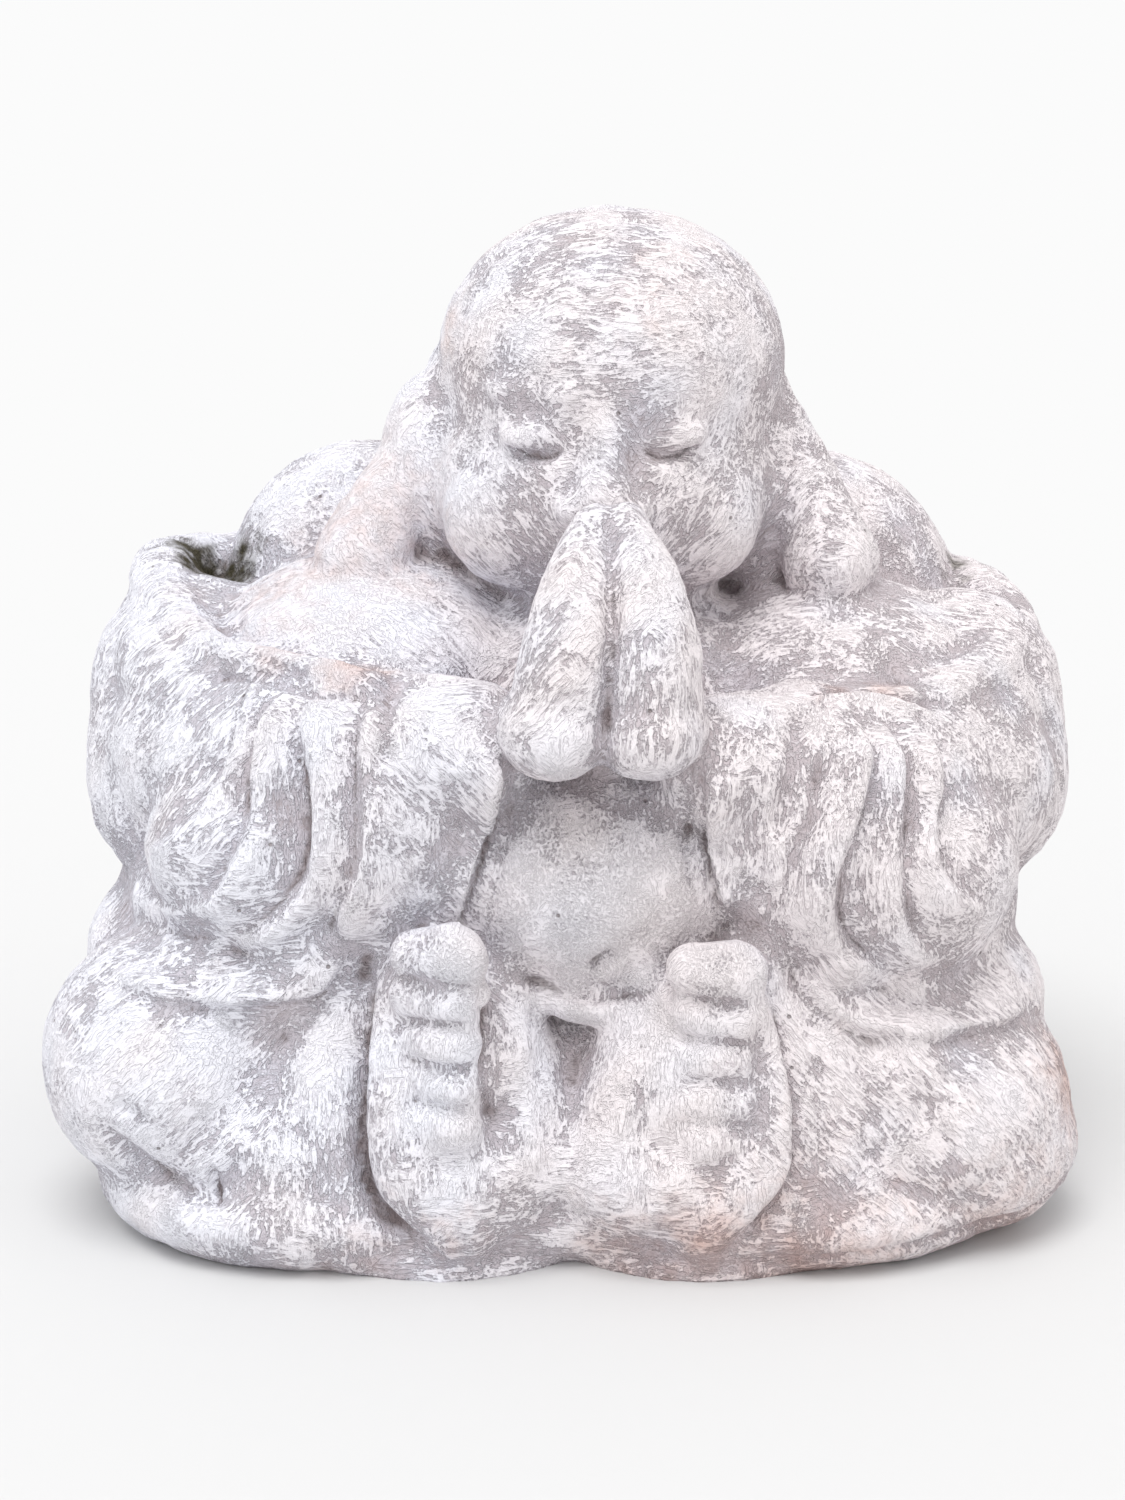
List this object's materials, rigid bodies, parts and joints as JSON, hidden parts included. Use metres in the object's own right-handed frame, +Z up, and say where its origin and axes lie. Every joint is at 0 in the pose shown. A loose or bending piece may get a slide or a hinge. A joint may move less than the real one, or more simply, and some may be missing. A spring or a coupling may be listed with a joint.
{
  "type": "hotei statue",
  "caption": "Seated round-bellied hotei figure with long ears, palms pressed together and draped robe; free-standing whitewashed concrete garden ornament.",
  "frame": {"origin": "centre of the statue's box, on the underside that it stands on", "axes": "+Z up, the figure looks along -Y, +X to the right of someone who faces it"},
  "size_m": [0.2628, 0.1976, 0.2498],
  "materials": {
    "whitewashed_concrete": "matt cast concrete, dry-brushed with a white lime wash that lies thick on the high places and thin in the folds"
  },
  "bodies": {
    "root": {"hotei_statue": "whitewashed_concrete"}
  },
  "joints": []
}
